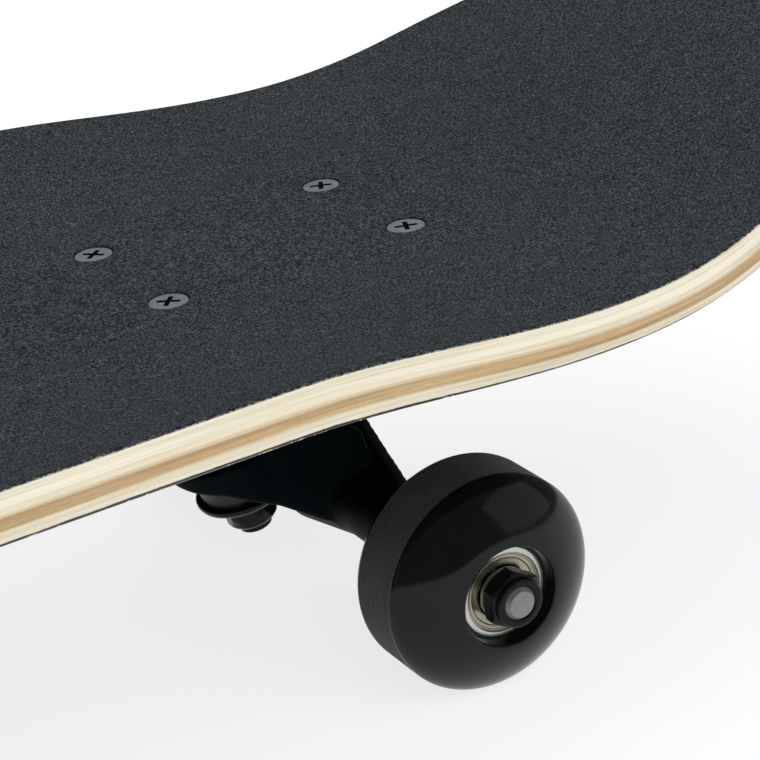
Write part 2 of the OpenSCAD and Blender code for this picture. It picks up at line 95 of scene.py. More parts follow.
# The bearings: half their width, and how far their middles are from the wheel's middle
BEARING_HALF, BEARING_MID = 3.5, 9.5
# Points of one mesh that are closer than this, in metres, are one point
MERGE_M = 2e-7

# ------------------------------------------------------------------ material helpers


class Paint:
    """One node material, with short calls for the nodes that it needs."""

    def __init__(self, name, rough=0.5, metal=0.0, coat=0.0, coat_rough=0.1, specular=0.5):
        """A fresh material, with the shader's constants set on its own sockets."""
        self.mat = bpy.data.materials.new(name)
        self.mat.use_nodes = True
        self.tree = self.mat.node_tree
        self.shader = self.tree.nodes["Principled BSDF"]
        self.shader.inputs["Roughness"].default_value = rough
        self.shader.inputs["Metallic"].default_value = metal
        self.shader.inputs["Coat Weight"].default_value = coat
        self.shader.inputs["Coat Roughness"].default_value = coat_rough
        self.shader.inputs["Specular IOR Level"].default_value = specular
        self.where = self.tree.nodes.new("ShaderNodeTexCoord").outputs["Object"]

    def link(self, value, socket):
        """Joins a node's output to a socket, or sets a number or a colour on it."""
        if isinstance(value, bpy.types.NodeSocket):
            self.tree.links.new(value, socket)
        elif isinstance(value, tuple) and len(value) == 3:
            socket.default_value = (*value, 1) if socket.type == "RGBA" else value
        else:
            socket.default_value = value

    def scaled(self, x, y, z):
        node = self.tree.nodes.new("ShaderNodeMapping")
        node.inputs["Scale"].default_value = (x, y, z)
        self.link(self.where, node.inputs["Vector"])
        return node.outputs["Vector"]

    def noise(self, per_mm, detail=2.0, rough=0.5, stretch=(1, 1, 1), offset=0.0):
        """Noise with about per_mm features a millimetre, packed closer along an axis by stretch."""
        node = self.tree.nodes.new("ShaderNodeTexNoise")
        node.noise_dimensions = "4D"
        node.inputs["W"].default_value = offset
        node.inputs["Scale"].default_value = 1.0
        node.inputs["Detail"].default_value = detail
        node.inputs["Roughness"].default_value = rough
        per_metre = per_mm / MM
        self.link(self.scaled(*(per_metre * s for s in stretch)), node.inputs["Vector"])
        return node.outputs["Fac"]

    def ramp(self, value, *stops):
        """A colour or a grey for each stop along a value from 0 to 1."""
        node = self.tree.nodes.new("ShaderNodeValToRGB")
        ramp = node.color_ramp
        while len(ramp.elements) < len(stops):
            ramp.elements.new(0.5)
        for element, (place, colour) in zip(ramp.elements, stops):
            element.position = place
            element.color = (*colour, 1) if isinstance(colour, tuple) else (colour, colour, colour, 1)
        self.link(value, node.inputs["Fac"])
        return node.outputs["Color"]

    def mix(self, factor, a, b, blend="MIX"):
        """Two colours mixed; a Mix node's colour sockets are inputs 6 and 7 and output 2."""
        node = self.tree.nodes.new("ShaderNodeMix")
        node.data_type = "RGBA"
        node.blend_type = blend
        self.link(factor, node.inputs[0])
        self.link(a, node.inputs[6])
        self.link(b, node.inputs[7])
        return node.outputs[2]

    def math(self, operation, a, b=0.0, clamp=False):
        node = self.tree.nodes.new("ShaderNodeMath")
        node.operation = operation
        node.use_clamp = clamp
        self.link(a, node.inputs[0])
        self.link(b, node.inputs[1])
        return node.outputs[0]

    def off_centre(self, value, centre):
        """How far a value's size is from a centre, which mirrors it at zero."""
        return self.math("SUBTRACT", self.math("ABSOLUTE", value), centre)

    def times(self, a, b, clamp=False):
        return self.math("MULTIPLY", a, b, clamp)

    def span(self, value, low, high, from_low=0.0, to_high=1.0):
        """A value between low and high, spread over from_low to to_high."""
        node = self.tree.nodes.new("ShaderNodeMapRange")
        for socket, number in zip(node.inputs[1:5], (low, high, from_low, to_high)):
            socket.default_value = number
        self.link(value, node.inputs[0])
        return node.outputs[0]

    def attribute(self, name):
        node = self.tree.nodes.new("ShaderNodeAttribute")
        node.attribute_name = name
        return node.outputs["Fac"]

    def axis(self, index):
        node = self.tree.nodes.new("ShaderNodeSeparateXYZ")
        self.link(self.where, node.inputs[0])
        return node.outputs[index]

    def follow_sheet(self, share, thick_mm):
        """Coordinates that follow a bent sheet: X and Y as they are, depth in the sheet for Z."""
        x, y = self.axis("X"), self.axis("Y")
        node = self.tree.nodes.new("ShaderNodeCombineXYZ")
        for socket, value in zip(node.inputs, (x, y, self.times(share, thick_mm * MM))):
            self.link(value, socket)
        self.where = node.outputs[0]

    def colour(self, value):
        self.link(value, self.shader.inputs["Base Color"])
        return self

    def roughness(self, value):
        self.link(value, self.shader.inputs["Roughness"])
        return self

    def bump(self, height, depth_mm, strength=1.0):
        node = self.tree.nodes.new("ShaderNodeBump")
        node.inputs["Strength"].default_value = strength
        node.inputs["Distance"].default_value = depth_mm * MM
        self.link(height, node.inputs["Height"])
        self.link(node.outputs["Normal"], self.shader.inputs["Normal"])
        return self


def rgb(r, g, b):
    """Linear colour from 0-255 display values."""
    return tuple(((c / 255) / 12.92 if c <= 10 else ((c / 255 + 0.055) / 1.055) ** 2.4) for c in (r, g, b))


def shade(colour, k):
    """A linear colour made k times as light."""
    return tuple(min(1.0, c * k) for c in colour)


# ------------------------------------------------------------------ materials

def grip_paint():
    """Charcoal grit on a dark sheet, filed pale in spots at the low edge of its rim."""
    p = Paint("grip_grit", rough=0.9, specular=0.12)
    grit = p.noise(1.9, 2, 0.7)
    coarse = p.noise(0.4, 2, 0.5, offset=3)
    wide = p.noise(0.012, 3, 0.5, offset=7)
    pit, flank, crest = (0.004, 0.0052, 0.006), (0.022, 0.027, 0.0295), (0.085, 0.094, 0.099)
    base = p.ramp(grit, (0.34, pit), (0.5, flank), (0.64, crest))
    base = p.mix(0.55, base, p.ramp(coarse, (0.3, 0.34), (0.7, 0.64)), "OVERLAY")
    base = p.mix(0.5, base, p.ramp(wide, (0.3, 0.42), (0.7, 0.58)), "OVERLAY")
    sparkle = p.ramp(p.noise(2.4, 1, 0.4, offset=11), (0.69, 0.0), (0.76, 1.0))
    base = p.mix(sparkle, base, (0.17, 0.18, 0.18))
    fray = p.noise(1.1, 4, 0.7, offset=5)
    at_rim = p.span(p.attribute("edge"), 0.0, 0.3, 1.0, 0.0)
    low = p.times(at_rim, p.span(p.attribute("share"), 0.45, 0.85))
    filed = p.math("SUBTRACT", low, p.span(fray, 0.4, 0.6, 0.0, 0.9), True)
    base = p.mix(filed, base, (0.42, 0.40, 0.36))
    p.colour(base).roughness(p.span(grit, 0.3, 0.7, 0.95, 0.7))
    return p.bump(grit, 0.16, 0.8).mat


def maple_paint(number, colour, deep):
    """One veneer's wood: streaks that follow the sheet, what stains its neighbours' tones, and on the top
    veneer a painted shade round the bolt holes.
    """
    p = Paint("maple_%d" % number, rough=0.5, specular=0.3)
    shift = number * 4.7
    share = p.attribute("share")
    p.follow_sheet(share, PLY)
    streak = p.noise(0.02, 5, 0.6, (0.6, 3.0, 48.0), shift)
    fine = p.noise(0.06, 4, 0.65, (1.0, 6.0, 80.0), shift + 2)
    pores = p.noise(1.3, 3, 0.7, (0.45, 0.6, 1.6), shift + 6)
    cloud = p.noise(0.02, 2, 0.5, (0.8, 1.0, 1.0), shift + 4)
    base = p.ramp(streak, (0.30, deep), (0.52, colour), (0.74, shade(colour, 1.05)))
    base = p.mix(0.75, base, p.ramp(fine, (0.32, 0.33), (0.68, 0.61)), "OVERLAY")
    base = p.mix(0.3, base, p.ramp(cloud, (0.3, 0.42), (0.7, 0.56)), "OVERLAY")
    strong = 0.4 if number in TAN_PLIES else 0.22
    base = p.mix(strong, base, p.ramp(pores, (0.3, 0.36), (0.7, 0.62)), "OVERLAY")
    blur = p.span(streak, 0.35, 0.65, -0.14, 0.14)
    depth = p.math("ADD", share, blur)
    pale, tan = rgb(226, 213, 184), rgb(204, 176, 138)
    if number == 3:
        base = p.mix(p.span(depth, 0.7, 1.05, 0.0, 0.8), base, tan)
    if number == 4:
        base = p.mix(p.span(depth, -0.08, 0.3, 0.9, 0.0), base, pale)
        middle = p.ramp(depth, (0.2, 0.0), (0.45, 1.0), (0.8, 0.7), (1.0, 0.1))
        band = p.times(middle, p.span(cloud, 0.38, 0.6, 0.2, 1.0))
        base = p.mix(band, base, rgb(176, 143, 104))
    if number == 5:
        base = p.mix(p.span(depth, 0.72, 1.05, 0.0, 0.85), base, pale)
    if number in TAN_PLIES:
        toward_nose = p.span(p.axis("X"), 0.20, 0.36, 0.0, 0.6)
        gold = p.times(toward_nose, p.span(streak, 0.35, 0.6, 0.3, 1.0))
        base = p.mix(gold, base, rgb(205, 168, 114))
    if number == 6:
        base = p.mix(p.span(depth, -0.05, 0.25, 0.5, 0.0), base, tan)
    glue = p.ramp(share, (0.0, 0.86), (0.06, 1.0), (0.94, 1.0), (1.0, 0.88))
    base = p.mix(0.6, base, glue, "MULTIPLY")
    # Painted shade: the top veneer turns near black within about 5.2 mm of each bolt's middle, so the gap
    # round each bolt head reads dark.
    if number == 1:
        from_truck = p.off_centre(p.axis("X"), TRUCK_X * MM)
        across = p.off_centre(from_truck, BOLT_X * MM)
        along = p.off_centre(p.axis("Y"), BOLT_Y * MM)
        reach = p.math("SQRT", p.math("ADD", p.times(across, across), p.times(along, along)))
        base = p.mix(p.span(reach, 0.0052, 0.0058, 1.0, 0.0), base, (0.006, 0.006, 0.006))
    if number == 7:
        torn = p.span(p.noise(0.16, 5, 0.75, (0.5, 1, 1)), 0.3, 0.7, -0.12, 0.12)
        ragged = p.math("ADD", torn, p.span(cloud, 0.35, 0.65, -0.12, 0.16))
        drip = p.ramp(p.math("ADD", share, ragged), (0.66, 0.0), (0.76, 1.0))
        base = p.mix(drip, base, (0.012, 0.012, 0.013))
    p.colour(base).roughness(p.span(fine, 0.3, 0.7, 0.45, 0.62))
    return p.bump(fine, 0.05, 0.5).mat


def lacquer_paint():
    """Black gloss on the underside, chipped to pale wood in spots along its rim."""
    p = Paint("deck_lacquer", rough=0.15, coat=0.3, coat_rough=0.06, specular=0.4)
    peel = p.noise(0.25, 2, 0.5)
    scuff = p.noise(0.03, 5, 0.7, (0.3, 2.0, 1.0), 5)
    edge = p.attribute("edge")
    sound = p.span(p.noise(0.4, 4, 0.7, offset=9), 0.33, 0.45, 0.0, 1.1)
    chip = p.math("SUBTRACT", p.span(edge, 0.0, 1.0, 1.0, 0.0), sound, True)
    base = p.ramp(scuff, (0.3, (0.003, 0.0035, 0.0042)), (0.7, (0.007, 0.0078, 0.009)))
    base = p.mix(p.times(chip, 4.0, True), base, rgb(214, 204, 180))
    p.colour(base).roughness(p.span(scuff, 0.3, 0.75, 0.10, 0.32))
    return p.bump(peel, 0.02, 0.35).mat


def cast_paint():
    """Black paint over a casting, lighter on its rounded edges: partly worn paint, partly a painted
    highlight.
    """
    p = Paint("cast_black", rough=0.5, specular=0.03)
    peel = p.noise(0.9, 3, 0.6)
    cloud = p.noise(0.05, 3, 0.5, offset=2)
    base = p.ramp(cloud, (0.3, (0.0010, 0.0028, 0.0036)), (0.7, (0.0020, 0.0048, 0.0060)))
    patchy = p.span(p.noise(0.5, 4, 0.7, offset=8), 0.35, 0.65, 0.3, 1.0)
    # The rounded edges are made lighter: partly worn paint, partly a painted highlight.
    edge_wear_and_highlight = p.times(p.attribute("edge_wear_and_highlight"), patchy)
    base = p.mix(p.times(edge_wear_and_highlight, 0.2), base, (0.010, 0.013, 0.014))
    p.colour(base).roughness(p.span(cloud, 0.3, 0.7, 0.42, 0.56))
    return p.bump(peel, 0.05, 0.3).mat


def metal_paint(name, low, high, rough, metal=1.0, per_mm=0.8, stretch=(1, 1, 1), depth=0.01):
    """Metal or plating between two colours, with fine marks and a cloudy roughness."""
    p = Paint(name, metal=metal, specular=0.5 if metal == 1.0 else 0.2)
    fine = p.noise(per_mm, 4, 0.65, stretch)
    cloud = p.noise(0.12, 3, 0.5, offset=4)
    base = p.mix(0.5, p.ramp(fine, (0.3, low), (0.7, high)), p.ramp(cloud, (0.3, low), (0.7, high)))
    p.colour(base).roughness(p.span(cloud, 0.3, 0.7, *rough))
    return p.bump(fine, depth, 0.5).mat


def dome_paint():
    """The wheel's moulded gloss sides, with a little dust."""
    p = Paint("wheel_gloss", rough=0.16, specular=0.24)
    cloud = p.noise(0.05, 4, 0.6)
    dust = p.ramp(p.noise(1.1, 2, 0.5, offset=6), (0.72, 0.0), (0.8, 1.0))
    base = p.ramp(cloud, (0.3, (0.0016, 0.0022, 0.0026)), (0.7, (0.003, 0.0038, 0.0044)))
    base = p.mix(p.times(dust, 0.2), base, (0.02, 0.02, 0.021))
    p.colour(base).roughness(p.span(cloud, 0.3, 0.7, 0.08, 0.15))
    return p.bump(p.noise(0.35, 2, 0.5, offset=3), 0.01, 0.4).mat


def tread_paint():
    """The wheel's turned tread: matt, with painted shade, near black, down in its grooves."""
    p = Paint("wheel_tread", rough=0.5, specular=0.25)
    fine = p.noise(1.6, 3, 0.6, (1, 2.5, 1))
    cloud = p.noise(0.09, 3, 0.5, offset=4)
    low, high = (0.024, 0.027, 0.0295), (0.062, 0.067, 0.072)
    base = p.mix(0.5, p.ramp(fine, (0.3, low), (0.7, high)), p.ramp(cloud, (0.3, low), (0.7, high)))
    # Painted shade: near black toward the floor of each groove.
    base = p.mix(p.ramp(p.attribute("groove"), (0.3, 0.0), (0.75, 1.0)), base, (0.0008, 0.0009, 0.001))
    p.colour(base).roughness(p.span(fine, 0.3, 0.7, 0.45, 0.65))
    return p.bump(fine, 0.03, 0.5).mat


def rubber_paint(name, low, high, rough):
    """Moulded rubber or plastic between two colours."""
    p = Paint(name, specular=0.35)
    cloud = p.noise(0.15, 4, 0.6)
    p.colour(p.ramp(cloud, (0.3, low), (0.7, high))).roughness(p.span(cloud, 0.3, 0.7, *rough))
    return p.bump(p.noise(0.9, 2, 0.5, offset=3), 0.02, 0.4).mat


GRIT = grip_paint()
MAPLE = {
    1: maple_paint(1, rgb(231, 223, 203), rgb(214, 202, 178)),
    2: maple_paint(2, rgb(237, 231, 211), rgb(221, 211, 187)),
    3: maple_paint(3, rgb(232, 223, 200), rgb(210, 197, 168)),
    4: maple_paint(4, rgb(204, 178, 138), rgb(172, 142, 102)),
    5: maple_paint(5, rgb(199, 171, 129), rgb(168, 138, 99)),
    6: maple_paint(6, rgb(226, 217, 192), rgb(206, 192, 162)),
    7: maple_paint(7, rgb(234, 226, 205), rgb(212, 200, 174)),
}
LACQUER = lacquer_paint()
CAST = cast_paint()
DOME, TREAD = dome_paint(), tread_paint()
BOLT = metal_paint("bolt_zinc", (0.135, 0.158, 0.17), (0.19, 0.22, 0.235), (0.42, 0.6), 0.25, 0.5)
# Painted shade: a near-black material for the walls of each bolt's cross recess.
RECESS_SHADE = metal_paint("recess_painted_shade", (0.002, 0.002, 0.0022), (0.006, 0.0062, 0.0065), (0.4, 0.55), 0.2, 0.8)
ZINC = metal_paint("zinc_plate", (0.42, 0.43, 0.44), (0.62, 0.63, 0.64), (0.28, 0.48))
BLACK = metal_paint("black_oxide", (0.003, 0.0038, 0.0045), (0.012, 0.0135, 0.015), (0.13, 0.28), 0.5, 0.8)
RACE = metal_paint("ground_steel", (0.42, 0.42, 0.41), (0.6, 0.6, 0.58), (0.18, 0.32), 1.0, 1.2, (1, 4, 1))
SHIELD = metal_paint("passivated_shield", (0.25, 0.235, 0.17), (0.42, 0.39, 0.30), (0.2, 0.36), 1.0, 0.5)
DULL_STEEL, BRIGHT_STEEL = (0.15, 0.157, 0.163), (0.34, 0.347, 0.355)
AXLE = metal_paint("axle_steel", DULL_STEEL, BRIGHT_STEEL, (0.42, 0.6), 0.9, 2.2, depth=0.03)
NYLON = rubber_paint("cup_nylon", (0.02, 0.02, 0.02), (0.034, 0.034, 0.034), (0.4, 0.6))
CUSHION = rubber_paint("bushing_urethane", (0.006, 0.0065, 0.007), (0.014, 0.015, 0.016), (0.3, 0.5))

# ------------------------------------------------------------------ mesh helpers


def joined(parts):
    """Several (points, faces) parts as one list of points and one of faces."""
    points, faces = [], []
    for part_points, part_faces in parts:
        first = len(points)
        points.extend(part_points)
        faces.extend([first + i for i in face] for face in part_faces)
    return points, faces


def clean(mesh, merge_by=None):
    """Merges points that coincide, where asked, and turns every face outward."""
    edit = bmesh.new()
    edit.from_mesh(mesh)
    if merge_by:
        bmesh.ops.remove_doubles(edit, verts=edit.verts, dist=merge_by)
    bmesh.ops.recalc_face_normals(edit, faces=edit.faces)
    edit.to_mesh(mesh)
    edit.free()


def placed(name, data):
    """A new object in the scene for a mesh, a lamp or a camera."""
    piece = bpy.data.objects.new(name, data)
    scene.collection.objects.link(piece)
    return piece


def solid(name, parts, mats, body, stands_for, sharp=34, merge=True, attributes=None, pick=None):
    """A closed mesh from (points in mm, faces) parts, riding on a body in place of a CAD node."""
    points, faces = joined(parts)
    mesh = bpy.data.meshes.new(name)
    mesh.from_pydata([(p[0] * MM, p[1] * MM, p[2] * MM) for p in points], [], faces)
    for key, values in (attributes or {}).items():
        mesh.attributes.new(key, "FLOAT", "POINT").data.foreach_set("value", values)
    clean(mesh, MERGE_M if merge else None)
    piece = placed(name, mesh)
    for mat in mats if isinstance(mats, list) else [mats]:
        mesh.materials.append(mat)
    if pick:
        for face in mesh.polygons:
            face.material_index = pick(face)
    mesh.shade_smooth()
    mesh.set_sharp_from_angle(angle=math.radians(sharp))
    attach(piece, body)
    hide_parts(stands_for)
    return piece


AXES = {
    "Z": (Vector((1, 0, 0)), Vector((0, 1, 0)), Vector((0, 0, 1))),
    "Y": (Vector((1, 0, 0)), Vector((0, 0, 1)), Vector((0, 1, 0))),
    "K": (Vector((math.cos(LEAN), 0, math.sin(LEAN))), Vector((0, 1, 0)), UPRIGHT),
}


def lathe(profile, origin=(0, 0, 0), axis="Z", segments=96, shape=None, flip=1):
    """A turned solid: profile is a closed loop of (radius, height) in mm along the axis.

    The axis is Y, Z or K, the kingpin's. shape moves a point by its angle, for threads and hexagons.
    """
    across, level, along = AXES[axis]
    origin = Vector(origin)
    points, faces, count = [], [], len(profile)
    for i in range(segments):
        turn = 2 * math.pi * i / segments
        ray = across * math.cos(turn) + level * math.sin(turn)
        for r, h in profile:
            if shape:
                r, h = shape(turn, r, h)
            points.append(origin + ray * r + along * (h * flip))
    for i in range(segments):
        a, b = i * count, ((i + 1) % segments) * count
        for j in range(count):
            k = (j + 1) % count
            faces.append((a + j, a + k, b + k, b + j))
    return points, faces


def arc(cx, cy, r, start, end, steps=5):
    """Points of an arc about (cx, cy), between two angles in degrees."""
    turns = [math.radians(start + (end - start) * i / steps) for i in range(steps + 1)]
    return [(cx + r * math.cos(turn), cy + r * math.sin(turn)) for turn in turns]


def slope(start, end, steps):
    """Points of a straight run from start, which is left out, to end."""
    (x, y), (to_x, to_y) = start, end
    return [(x + (to_x - x) * i / steps, y + (to_y - y) * i / steps) for i in range(1, steps + 1)]


def hexed(across):
    """Keeps a turned profile inside a hexagon, which leaves the chamfer arcs of a real nut."""

    def clip(turn, r, h):
        off = (math.degrees(turn) + 30) % 60 - 30
        return min(r, across / 2 / math.cos(math.radians(off))), h

    return clip


def moved(part, end):
    """A part in one truck's frame, placed under the front (1) or rear (-1) of the deck."""
    points, faces = part
    return [Vector((end * (TRUCK_X + p[0]), end * p[1], p[2])) for p in points], faces


ENDS = (("front", 1), ("rear", -1))
SIDES = (("left", 1), ("right", -1))
BOLT_PLACES = [(x, y) for x in (-BOLT_X, BOLT_X) for y in (-BOLT_Y, BOLT_Y)]

# ------------------------------------------------------------------ deck sheets


def smooth(t):
    """An even rise from 0 to 1 that starts and ends level."""
    t = np.clip(t, 0, 1)
    return t * t * (3 - 2 * t)


def top_z(x, y):
    """Height of the deck's top, with its cross curve and its kicks."""
    u = np.abs(x) - TRUCK_X
    rail = RISE + (NOSE_RISE - RISE) * smooth((u + FADE) / (2 * FADE))
    t = np.maximum(0, (np.abs(y) / HALF_WIDTH - FLAT) / (1 - FLAT))
    k = np.abs(x) - KICK_START
    run = KICK_R * math.sin(KICK_A)
    bend = KICK_R - np.sqrt(np.maximum(0, KICK_R**2 - np.clip(k, 0, run) ** 2))
    return GRIP_TOP + rail * t * t + bend + np.maximum(0, k - run) * math.tan(KICK_A)


def edge_draw(depth):
    """How far the rounded edge is drawn in at a depth."""
    top = max(0.0, 1 - depth / DRAW_DEPTH)
    low = max(0.0, 1 - (STACK - depth) / DRAW_DEPTH)
    return DRAW_TOP * top * top + DRAW_LOW * low * low


# Stations along half of the deck: a place on its straight sides, or an angle round its end
HALF_STATIONS = [(x, None) for x in np.linspace(0, NOSE_X - 8, 25)]
HALF_STATIONS += [(None, angle) for angle in np.linspace(0, NOSE_LAST, 64)]
# Edges of a sheet sharper than this, in degrees, stay sharp
SHEET_SHARP = 50
# Shares of the half width at which each station has points, closest at the rim
HALF_ROWS = (1, 0.996, 0.99, 0.975, 0.95, 0.9, 0.84, 0.77, 0.7, 0.62, 0.54, 0.46, 0.38, 0.3, 0.25, 0.12)
ROWS = np.array([-share for share in HALF_ROWS] + [0] + list(HALF_ROWS[::-1]))


def end_station(sign, angle, draw):
    """Place along X, half width and slant of the outline at an angle round the deck's end."""
    a = math.radians(angle)
    reach = NOSE_LENGTH / math.sin(math.radians(NOSE_LAST)) - draw
    slant = abs(math.cos(math.atan2(HALF_WIDTH * math.sin(a), NOSE_LENGTH * math.cos(a))))
    return sign * (NOSE_X + reach * math.sin(a)), (HALF_WIDTH - draw) * math.cos(a), slant


def sheet_mesh(depth_top, depth_low, side_steps):
    """Closed sheet between two depths, with each point's distance from the rim and share of depth."""
    loop = [(t, depth_top) for t in ROWS]
    inner = [depth_top + (depth_low - depth_top) * i / side_steps for i in range(1, side_steps)]
    loop += [(1.0, d) for d in inner]
    loop += [(t, depth_low) for t in ROWS[::-1]]
    loop += [(-1.0, d) for d in inner[::-1]]
    stations = [(-1, s) for s in HALF_STATIONS[:0:-1]] + [(1, s) for s in HALF_STATIONS]
    ts, ds = np.array([p[0] for p in loop]), np.array([p[1] for p in loop])
    draw = np.array([edge_draw(d) for d in ds])
    share = (ds - depth_top) / (depth_low - depth_top)
    points, rims, shares = [], [], []
    step = 0.5
    for sign, (x, angle) in stations:
        if angle is None:
            px, half, slant = np.full(len(loop), sign * x), HALF_WIDTH - draw, 1.0
        else:
            px, half, slant = end_station(sign, angle, draw)
        py = ts * half
        dx = (top_z(px + step, py) - top_z(px - step, py)) / (2 * step)
        dy = (top_z(px, py + step) - top_z(px, py - step)) / (2 * step)
        size = np.sqrt(dx * dx + dy * dy + 1)
        points.append(np.stack([px + ds * dx / size, py + ds * dy / size, top_z(px, py) - ds / size], 1))
        rim = (half - np.abs(py)) * max(slant, 0.05)
        rims.append(np.minimum(rim, NOSE_X + NOSE_LENGTH - np.abs(px)))
        shares.append(share)
    count = len(loop)
    faces = []
    for i in range(len(stations) - 1):
        for j in range(count):
            k = (j + 1) % count
            faces.append((i * count + j, i * count + k, (i + 1) * count + k, (i + 1) * count + j))
    last = (len(stations) - 1) * count
    for base in (0, last):
        faces.append([base + j for j in range(count)])
    return np.concatenate(points), faces, np.concatenate(rims), np.concatenate(shares)


def bolt_cutters():
    """Plugs that open the bolt holes, with their countersinks, through every sheet."""
    bore, rim, wood_top, spare = 2.6, 5.0, GRIP_TOP - GRIP, 3
    profile = [(0.0, DECK_LOW - spare), (bore, DECK_LOW - spare), (bore, wood_top - bore)]
    profile += [(rim, wood_top), (rim + 0.05, GRIP_TOP + spare), (0.0, GRIP_TOP + spare)]
    parts = []
    for _, end in ENDS:
        for x, y in BOLT_PLACES:
            parts.append(moved(lathe(profile, (x, y, 0), segments=64), end))
    points, faces = joined(parts)
    mesh = bpy.data.meshes.new("cutter")
    mesh.from_pydata([tuple(p * MM) for p in points], [], faces)
    clean(mesh, MERGE_M)
    return placed("cutter", mesh)


def freeze(piece):
    """Replaces a piece's mesh by what its modifiers give."""
    bpy.context.view_layer.update()
    graph = bpy.context.evaluated_depsgraph_get()
    shape = piece.evaluated_get(graph)
    mesh = bpy.data.meshes.new_from_object(shape, preserve_all_data_layers=True, depsgraph=graph)
    piece.modifiers.clear()
    piece.data = mesh


def cut_away(piece, cutter, own_overlaps=False):
    """Takes a cutter's shape out of a piece."""
    cut = piece.modifiers.new("cut", "BOOLEAN")
    cut.operation, cut.object, cut.solver = "DIFFERENCE", cutter, "EXACT"
    cut.use_self = own_overlaps
    freeze(piece)


def deck_sheet(node, depth_top, depth_low, mat, slot_name, side_steps):
    """One bent sheet of the deck, with the bolt holes cut through it."""
    points, faces, rims, shares = sheet_mesh(depth_top, depth_low, side_steps)
    marks = {"edge": rims, "share": shares}
    sheet = [(points, faces)]
    piece = solid(node + "_sheet", sheet, mat, "board", node, SHEET_SHARP, False, marks)
    cut_away(piece, cutter)
    piece.data.shade_smooth()
    piece.data.set_sharp_from_angle(angle=math.radians(SHEET_SHARP))


cutter = bolt_cutters()
deck_sheet("grip_tape", 0.0, GRIP, GRIT, "grip", 2)
for ply, paint in MAPLE.items():
    depths = GRIP + (ply - 1) * PLY, GRIP + ply * PLY
    deck_sheet("deck_ply_%d" % ply, *depths, paint, "maple_dark" if ply in TAN_PLIES else "maple", 3)
deck_sheet("deck_bottom_film", STACK, STACK + FILM, LACQUER, "deck_lacquer", 2)
bpy.data.objects.remove(cutter)

# ------------------------------------------------------------------ truck bolts and their nuts


def cross_cutter():
    """Tapered four-winged recess of a cross-head screw."""
    corners = ((-1, -1), (1, -1), (1, 1), (-1, 1))
    edit = bmesh.new()
    for turn in (0, 90):
        spin = Matrix.Rotation(math.radians(turn), 4, "Z")
        rings = []
        for z, length, width in ((0.4, 3.0, 0.66), (-0.6, 2.45, 0.52), (-1.9, 0.9, 0.34)):
            level = [spin @ Vector((sx * length, sy * width, z)) for sx, sy in corners]
            rings.append([edit.verts.new(point) for point in level])
        edit.faces.new(rings[0])
        edit.faces.new(rings[-1][::-1])
        for upper, lower in zip(rings, rings[1:]):
            for k in range(4):
                edit.faces.new((upper[k], lower[k], lower[(k + 1) % 4], upper[(k + 1) % 4]))
    bmesh.ops.recalc_face_normals(edit, faces=edit.faces)
    mesh = bpy.data.meshes.new("cross")
    edit.to_mesh(mesh)
    edit.free()
    return placed("cross", mesh)


def thread_rows(low, high, r, pitch):
    """Rows of (radius, height) along a shank, six for each turn of its thread."""
    steps = int((high - low) / pitch * 6)
    return [(r, low + (high - low) * i / steps) for i in range(steps + 1)]


def threaded(low, high, r, pitch, depth):
    """Cuts a helix into the rows of a shank between two heights."""

    def cut(turn, radius, h):
        if abs(radius - r) > 1e-6 or not low <= h <= high:
            return radius, h
        wave = abs(((h / pitch - turn / (2 * math.pi)) % 1) * 2 - 1)
        fade = min(1.0, (high - h) / (2 * pitch) + 0.2)
        return radius - depth * (1 - wave) * fade, h

    return cut


def one_bolt():
    """A countersunk bolt with its thread and its cross recess, its head's top at zero."""
    r, head, pitch, depth = 2.35, 4.65, 0.8, 0.3
    low, high = -24.5, -9.5
    profile = [(0.0, -25.25), (r - 0.5, -25.25), (r, -24.75)]
    profile += thread_rows(low, high, r, pitch)
    profile += [(r, -9), (r, -3.2), (2.5, -2.9), (head - 0.1, -0.62), (head, -0.5), (head, -0.32)]
    profile += arc(head - 0.28, -0.28, 0.28, 0, 90, 4) + [(2.6, 0.03), (0.0, 0.05)]
    points, faces = lathe(profile, segments=48, shape=threaded(low, high, r, pitch, depth))
    mesh = bpy.data.meshes.new("bolt")
    mesh.from_pydata([tuple(p) for p in points], [], faces)
    clean(mesh, 1e-4)
    piece = placed("bolt", mesh)
    cross = cross_cutter()
    cut_away(piece, cross, own_overlaps=True)
    points = [v.co.copy() for v in piece.data.vertices]
    faces = [list(f.vertices) for f in piece.data.polygons]
    bpy.data.objects.remove(piece)
    bpy.data.objects.remove(cross)
    return points, faces


def in_recess(face):
    """The cross recess's walls take a near-black material: painted shade for the dark inside of the recess.
    """
    spot = face.center
    r = math.hypot(abs(abs(spot.x) / MM - TRUCK_X) - BOLT_X, abs(spot.y) / MM - BOLT_Y)
    return 1 if r < 3.05 and 0.3 < GRIP_TOP - spot.z / MM < 2.6 else 0


BOLT_SHAPE = one_bolt()
BOLT_TURNS = (50, 40, -23, -28)


def lock_nut_profile():
    """A nut with a nylon ring in its round lower end, from its low end up to the baseplate."""
    low = PLATE_LOW - 5
    rows = [(2.35, low), (3.4, low), (4.2, low + 0.25), (4.4, low + 0.8), (4.35, low + 1.5)]
    rows += [(4.6, low + 1.6)] + slope((4.6, low + 1.6), (5.55, low + 2.2), 5)
    return rows + [(5.6, PLATE_LOW - 0.25), (5.3, PLATE_LOW), (2.35, PLATE_LOW)]


